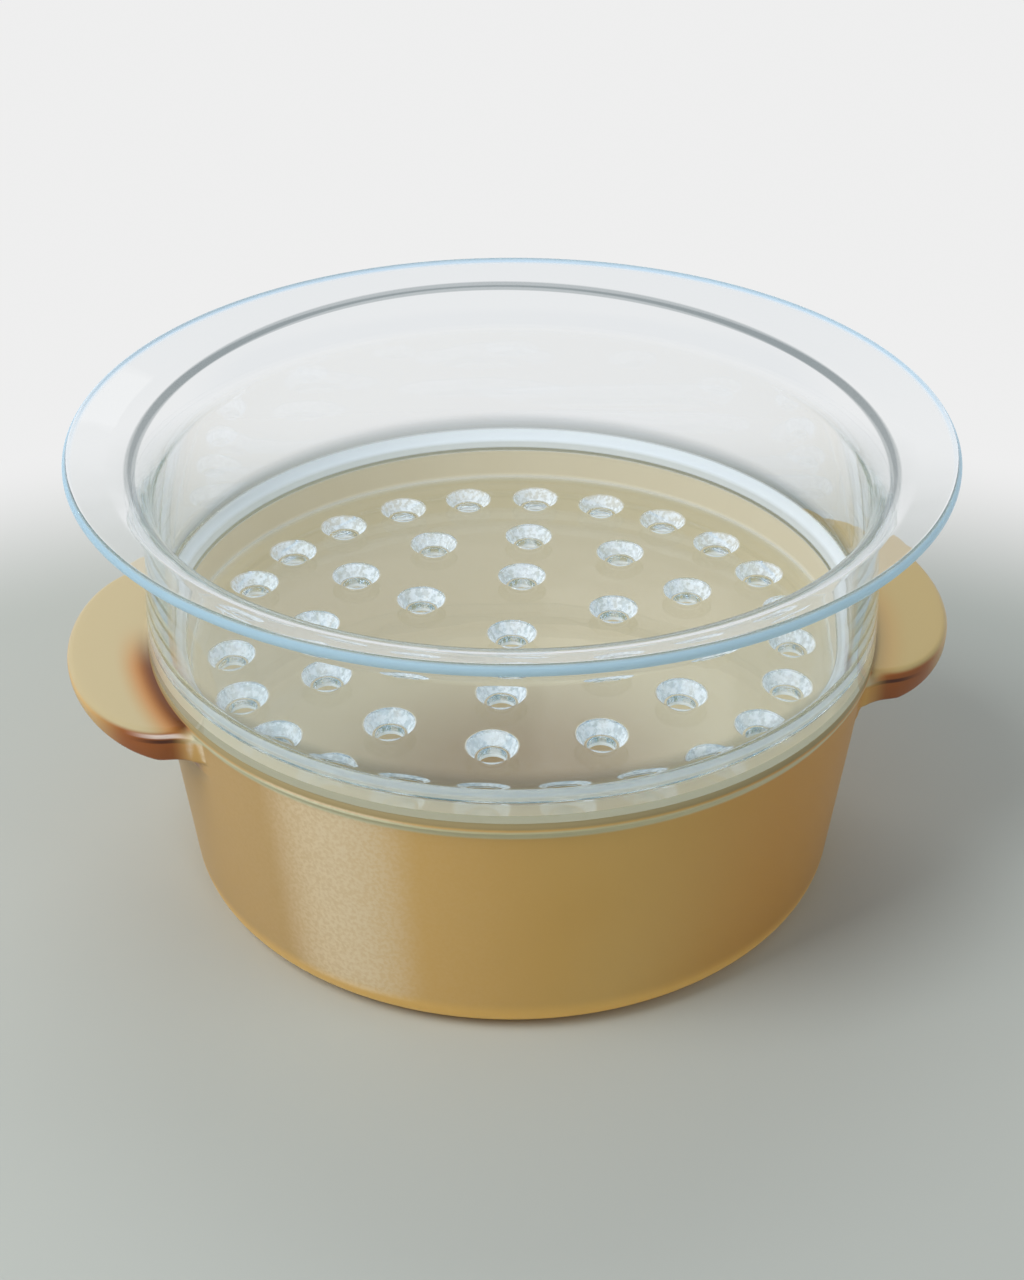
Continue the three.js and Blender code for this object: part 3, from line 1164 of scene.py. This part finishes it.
@dataclass
class SteamerInsert:
    """The clear glass bowl with its flange, its seat on the pot and its perforated floor.

    Overall sizes come from the frame, in millimetres, and the rest follows them. A span gives where
    a mask is 0 and where it is 1: in a hole by its slope or its share of the bore's depth, on the
    spigot above the floor, and elsewhere above the seat.
    """

    top: float
    bottom: float
    flange_r: float
    pot_lip_r: float
    finish: ClearGlass = field(default_factory=ClearGlass)
    spigot_depth: float = 16.6
    spigot_wall: float = 3.4
    spigot_inset: float = 6.4
    spigot_round: float = 8.0
    seat_round: float = 0.35
    flare: float = 1.8
    wall: float = 3.6
    shoulder_bottom: float = 2.7
    shoulder_top: float = 8.2
    shoulder_top_round: float = 9.5
    shoulder_bottom_round: float = 3.0
    plate: float = 7.2
    plate_fillet: float = 3.0
    flange: float = 3.6
    flange_tilt: float = math.radians(16)
    flange_fillet: float = 17.0
    flange_edge: float = 1.7
    hole_top_r: float = 7.7
    hole_ledge_r: float = 5.2
    hole_bore_r: float = 4.2
    hole_funnel: float = 3.9
    hole_lip: float = 1.0
    hole_foot: float = 0.5
    hole_margin: float = 2.7
    hole_pitch: float = 26.8
    hole_counts: tuple[int, ...] = (24, 12, 6)
    hole_turn: float = math.radians(16.3)
    hole_arc_step: float = math.radians(15)
    funnel_up: Span = (0.8, 0.6)
    rim_up: Span = (0.98, 0.93)
    rim_frost: float = 0.4
    bore_shine: Span = (0.45, 0.6)
    bore_end: Span = (1.0, 0.93)
    inner_facing: float = -0.2
    edge_soft: float = 0.5
    edge_shine: float = 0.7
    seat_near: float = 0.2
    pot_view_start: Span = (0.5, 2.5)
    pot_view_end: Span = (2.4, 1.8)
    crease_start: Span = (2.0, 2.5)
    crease_end: Span = (3.0, 3.4)
    crease_dim: float = 0.6
    shoulder_full: Span = (4.5, 5.5)
    shoulder_low_shine: float = 0.6
    shoulder_end: Span = (8.2, 9.2)
    wall_end: Span = (15.5, 11.0)
    wall_dim: float = 0.8
    columns: int = 192
    longest_step: float = 0.8
    hole_columns: int = 40
    hole_step: float = 0.6

    @classmethod
    def from_frame(cls) -> SteamerInsert:
        """Takes the overall sizes from the frame's nodes.

        Returns:
            The insert.
        """
        low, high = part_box(ShellName.INSERT.value)
        pot_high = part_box(ShellName.POT.value)[1]
        return cls(high.z / MM, low.z / MM, high.y / MM, pot_high.y / MM)

    @property
    def spigot_r(self) -> float:
        """Radius of the spigot that stands in the pot's mouth."""
        return self.pot_lip_r - self.spigot_inset

    @property
    def spigot_inner_r(self) -> float:
        """Radius inside the spigot."""
        return self.spigot_r - self.spigot_wall

    @property
    def plate_top(self) -> float:
        """Height of the perforated floor's upper face."""
        return self.bottom + self.plate

    def outline(self) -> list[Station]:
        """The bowl's section, from the edge of the floor's underside round to that of its top.

        Returns:
            The section's stations.
        """
        seat_z = self.bottom + self.spigot_depth
        seat_r = self.pot_lip_r
        wall_r = seat_r - self.flare
        inner_r = wall_r - self.wall
        slope = math.tan(self.flange_tilt)
        rim = self.top + self.flange_edge * (slope + 1 / math.cos(self.flange_tilt) - 1)
        under = rim - self.flange
        return rounded_outline(
            [
                Corner(0, self.bottom),
                Corner(self.spigot_r, self.bottom, self.spigot_round),
                Corner(self.spigot_r, seat_z, self.seat_round),
                Corner(seat_r, seat_z, self.seat_round),
                Corner(wall_r, under - slope * (self.flange_r - wall_r), self.flange_fillet - self.wall),
                Corner(self.flange_r, under, self.flange_edge),
                Corner(self.flange_r, rim, self.flange_edge),
                Corner(inner_r, rim - slope * (self.flange_r - inner_r), self.flange_fillet),
                Corner(inner_r, seat_z + self.shoulder_top, self.shoulder_top_round),
                Corner(self.spigot_inner_r, seat_z + self.shoulder_bottom, self.shoulder_bottom_round),
                Corner(self.spigot_inner_r, self.plate_top, self.plate_fillet),
                Corner(0, self.plate_top),
            ]
        )

    def hole_outline(self) -> list[Station]:
        """A steam hole's section, from the floor's top down the funnel and the bore.

        Returns:
            The section's stations.
        """
        ledge_z = self.plate_top - self.hole_funnel
        return rounded_outline(
            [
                Corner(2 * self.hole_top_r, self.plate_top),
                Corner(self.hole_top_r, self.plate_top, self.hole_lip),
                Corner(self.hole_ledge_r, ledge_z, self.hole_foot),
                Corner(self.hole_bore_r, ledge_z, self.hole_foot),
                Corner(self.hole_bore_r, self.bottom, self.hole_foot),
                Corner(2 * self.hole_top_r, self.bottom),
            ],
            self.hole_arc_step,
        )

    def hole_masks(self, station: Station) -> dict[Mask, float]:
        """What a hole's masks hold: frost on its funnel and its rim, a painted highlight low in its bore.

        Args:
            station: A place on the hole's section.

        Returns:
            The masks' values.
        """
        deep = self.plate_top - station.z
        if deep <= self.hole_funnel:
            rim = self.rim_frost * smoothstep(*self.rim_up, station.out_z)
            return {Mask.FROST: max(rim, smoothstep(*self.funnel_up, station.out_z))}
        # Painted highlight low in the bore.
        bored = (deep - self.hole_funnel) / (self.plate - self.hole_funnel)
        return {Mask.PAINTED_HIGHLIGHT: smoothstep(*self.bore_shine, bored) * smoothstep(*self.bore_end, bored)}

    def bowl_masks(self, station: Station) -> dict[Mask, float]:
        """What the bowl's masks hold: painted light on its edge, its lower wall, its shoulder, its spigot
        and seat.

        Args:
            station: A place on the bowl's section.

        Returns:
            The masks' values.
        """
        over_seat = station.z - self.bottom - self.spigot_depth
        if station.out_r > self.inner_facing:
            # Painted reflection on the flange's edge: a blue tint and veil, with a painted highlight.
            start = self.flange_r - self.flange_edge
            edge = smoothstep(start, self.flange_r - self.edge_soft, station.r)
            # Painted view of the pot on the seat's face.
            seat = 1.0 if abs(over_seat) < self.seat_near else 0.0
            return {Mask.EDGE: edge, Mask.SEAT: seat, Mask.PAINTED_HIGHLIGHT: self.edge_shine * edge}
        # Painted dark lines at the crease above the seat and on the wall just above the shoulder.
        over_crease = smoothstep(*self.crease_end, over_seat)
        over_shoulder = smoothstep(*self.shoulder_end, over_seat)
        crease = smoothstep(*self.crease_start, over_seat) * (1 - over_crease)
        wall = over_shoulder * smoothstep(*self.wall_end, over_seat)
        low = self.shoulder_low_shine
        # Painted highlight: a white band on the shoulder.
        shine = low + (1 - low) * smoothstep(*self.shoulder_full, over_seat)
        # Painted view of the pot: the spigot's inner wall wears the pot's khaki and a faint glow.
        warm = smoothstep(*self.pot_view_start, station.z - self.plate_top)
        return {
            Mask.DIM: max(self.crease_dim * crease, self.wall_dim * wall),
            Mask.PAINTED_HIGHLIGHT: over_crease * (1 - over_shoulder) * shine,
            Mask.PAINTED_POT_VIEW: warm * smoothstep(*self.pot_view_end, over_seat),
        }

    def hole_centres(self) -> list[Vector]:
        """The middles of all steam holes: one in the centre, and the rings from the outside in.

        Returns:
            Their places, with Z at 0.
        """
        outer = self.spigot_inner_r - self.plate_fillet - self.hole_margin - self.hole_top_r
        centres = [Vector((0, 0, 0))]
        for ring, count in enumerate(self.hole_counts):
            radius = outer - ring * self.hole_pitch
            for k in range(count):
                angle = self.hole_turn + math.tau * k / count
                centres.append(Vector((radius * math.cos(angle), radius * math.sin(angle), 0)))
        return centres

    def build(self) -> bpy.types.Object:
        """Builds the insert's shell and dresses it.

        Returns:
            The insert.
        """
        shell = Shell()
        angles = spread(0, math.tau, self.columns)
        rings = []
        for station in subdivided(self.outline(), self.longest_step):
            rings.append(shell.ring(station, angles, values=self.bowl_masks(station)))
        for below, above in zip(rings, rings[1:]):
            shell.bridge(below, above)
        hole_angles = spread(0, math.tau, self.hole_columns)
        section = subdivided(self.hole_outline(), self.hole_step)
        mouths, feet = [], []
        for centre in self.hole_centres():
            funnel = []
            for station in section:
                funnel.append(shell.ring(station, hole_angles, centre, self.hole_masks(station)))
            for above, below in zip(funnel, funnel[1:]):
                shell.bridge(above, below)
            mouths.append(funnel[0])
            feet.append(funnel[-1])
        shell.sheet(rings[-1], mouths, upwards=True)
        shell.sheet(rings[0], feet, upwards=False)
        piece = shell.finish(ShellName.INSERT, exact_normals=True)
        piece.data.materials.append(self.finish.material())
        return piece


# Studio


@dataclass(frozen=True)
class Viewpoint:
    """The camera, in millimetres and degrees about the object's axis.

    The focal length is in pixels of an image 1024 wide and 1280 high.
    """

    distance: float = 590.2
    height: float = 441.4
    turn: float = 8.5
    down: float = 32.09
    focal_px: float = 2212.5
    image_long_px: float = 1280.0
    sensor: float = 36.0
    clip_start: float = 0.01

    @property
    def away(self) -> Vector:
        """The level direction from the camera through the object."""
        turn = math.radians(self.turn)
        return Vector((math.sin(turn), math.cos(turn), 0))

    @property
    def right(self) -> Vector:
        """The level direction to the right of the camera."""
        return Vector((self.away.y, -self.away.x, 0))

    def place(self) -> bpy.types.Object:
        """Makes the camera and gives it to the scene.

        Returns:
            The camera.
        """
        data = bpy.data.cameras.new("camera")
        data.sensor_fit = "AUTO"
        data.sensor_width = self.sensor
        data.lens = self.focal_px * self.sensor / self.image_long_px
        data.clip_start = self.clip_start
        camera = add_object("camera", data)
        camera.location = (-self.away * self.distance + Vector((0, 0, self.height))) * MM
        camera.rotation_euler = (math.radians(90 - self.down), 0, -math.radians(self.turn))
        bpy.context.scene.camera = camera
        return camera


class LampRole(Enum):
    """The studio's lamps."""

    KEY = "key"
    FILL = "fill"
    BACK = "back"


@dataclass(frozen=True)
class Lamp:
    """A rectangular soft lamp, in metres and watts, that looks at the object.

    Neither mirrors nor glass show it, so it leaves no bright shape on them.
    """

    role: LampRole
    place: tuple[float, float, float]
    width: float
    height: float
    power: float

    def hang(self, target: Vector) -> bpy.types.Object:
        """Hangs the lamp.

        Args:
            target: What it looks at, in metres.

        Returns:
            The lamp.
        """
        data = bpy.data.lights.new(f"lamp_{self.role.value}", "AREA")
        data.shape = "RECTANGLE"
        data.size = self.width
        data.size_y = self.height
        data.energy = self.power
        lamp = add_object(data.name, data)
        lamp.location = self.place
        lamp.visible_glossy = False
        lamp.visible_transmission = False
        lamp.rotation_euler = (target - lamp.location).to_track_quat("-Z", "Y").to_euler()
        return lamp


@dataclass
class Studio:
    """A pale floor that runs out to white, soft lamps and a plain room of light.

    Lengths are in metres. A span gives where a blend starts and where it is full, along a direction.
    """

    view: Viewpoint
    floor_colour: Colour = srgb(189, 192, 185)
    floor_half: float = 12.0
    floor_nearer: float = 0.3
    floor_pale_start: float = 0.46
    floor_pale_end: float = 0.6
    white: float = 0.86
    room_dark: Colour = srgb(146, 168, 188)
    ceiling: Colour = srgb(205, 212, 220)
    window_light: float = 1.1
    window_up: float = 0.545
    window_right: float = 0.07
    window_half: float = 0.06
    window_sharp: float = 0.8
    window_ahead: Span = (0.0, 0.1)
    room_ahead: Span = (0.0, 0.6)
    ceiling_up: Span = (0.45, 0.8)
    ambient: float = 0.5
    max_bounces: int = 32
    target: tuple[float, float, float] = (0.0, 0.0, 0.08)
    lamps: tuple[Lamp, ...] = (
        Lamp(LampRole.KEY, (-0.9, -0.35, 1.1), 0.7, 0.9, 14.0),
        Lamp(LampRole.FILL, (0.9, -0.7, 0.8), 0.8, 0.8, 2.5),
        Lamp(LampRole.BACK, (0.15, 1.1, 1.0), 1.2, 0.5, 6.0),
    )

    def build(self) -> None:
        """Sets up the floor, the lamps, the room and the scene's own settings."""
        self._floor()
        for lamp in self.lamps:
            lamp.hang(Vector(self.target))
        self._room()
        scene = bpy.context.scene
        scene.view_settings.view_transform = "Standard"
        scene.cycles.max_bounces = self.max_bounces
        scene.cycles.glossy_bounces = self.max_bounces
        scene.cycles.transmission_bounces = self.max_bounces
        scene.cycles.transparent_max_bounces = self.max_bounces

    @staticmethod
    def _seen(bench: Bench) -> Field:
        """Finds the rays that see the background: the camera's, mirrored ones and those through glass.

        Args:
            bench: The node tree.

        Returns:
            1 for such rays, 0 for others.
        """
        path = bench.add("ShaderNodeLightPath")
        mirrored = path["Is Glossy Ray"].either(path["Is Transmission Ray"])
        return path["Is Camera Ray"].either(mirrored)

    def _floor(self) -> None:
        """A level floor, pale under the object and white away from it."""
        mesh = bpy.data.meshes.new("floor")
        h = self.floor_half
        mesh.from_pydata([(-h, -h, 0), (h, -h, 0), (h, h, 0), (-h, h, 0)], [], [(0, 1, 2, 3)])
        floor = add_object("floor", mesh)
        material, bench = new_material("floor")
        place = bench.add("ShaderNodeTexCoord")["Object"]
        middle = -self.view.away * self.floor_nearer
        far = bench.add("ShaderNodeVectorMath", {"operation": "DISTANCE"}, {0: place, 1: middle})["Value"]
        pale = far.rise(self.floor_pale_start, self.floor_pale_end)
        ground = bench.add("ShaderNodeBsdfDiffuse", None, {"Color": self.floor_colour})
        white = bench.add("ShaderNodeEmission", None, {"Strength": self.white})
        both = bench.mix(pale * self._seen(bench), ground["BSDF"], white["Emission"])
        bench.add("ShaderNodeOutputMaterial", None, {"Surface": both})
        mesh.materials.append(material)

    def _room(self) -> None:
        """The room's light: even for what it lights, with a dim side for what mirrors it."""
        world = bpy.data.worlds.new("room")
        bpy.context.scene.world = world
        world.use_nodes = True
        bench = Bench(world.node_tree)
        way = bench.add("ShaderNodeTexCoord")["Generated"]
        ahead = bench.along(way, self.view.away)
        right = bench.along(way, self.view.right)
        up = bench.along(way, (0, 0, 1))
        white = (self.white,) * 3
        colour = bench.blend(self.room_dark, white, ahead.rise(*self.room_ahead))
        colour = bench.blend(colour, self.ceiling, up.rise(*self.ceiling_up))
        fade = (self.window_sharp * self.window_half, self.window_half)
        tall = 1 - (up - self.window_up).size().rise(*fade)
        wide = 1 - (right - self.window_right).size().rise(*fade)
        pane = tall * wide * ahead.rise(*self.window_ahead)
        colour = bench.blend(colour, (self.window_light,) * 3, pane)
        path = bench.add("ShaderNodeLightPath")
        colour = bench.blend(colour, white, path["Is Camera Ray"])
        strength = self._seen(bench) * (1 - self.ambient) + self.ambient
        shine = bench.add("ShaderNodeBackground", None, {"Color": colour, "Strength": strength})
        bench.add("ShaderNodeOutputWorld", None, {"Surface": shine["Background"]})


def main() -> None:
    """Builds the studio and the two shells round the frame."""
    logging.basicConfig(level=logging.INFO)
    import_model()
    view = Viewpoint()
    view.place()
    Studio(view).build()
    for shell in (Pot.from_frame(), SteamerInsert.from_frame()):
        piece = shell.build()
        LOG.info("%s: %d faces", piece.name, len(piece.data.polygons))


if __name__ == "__main__":
    main()
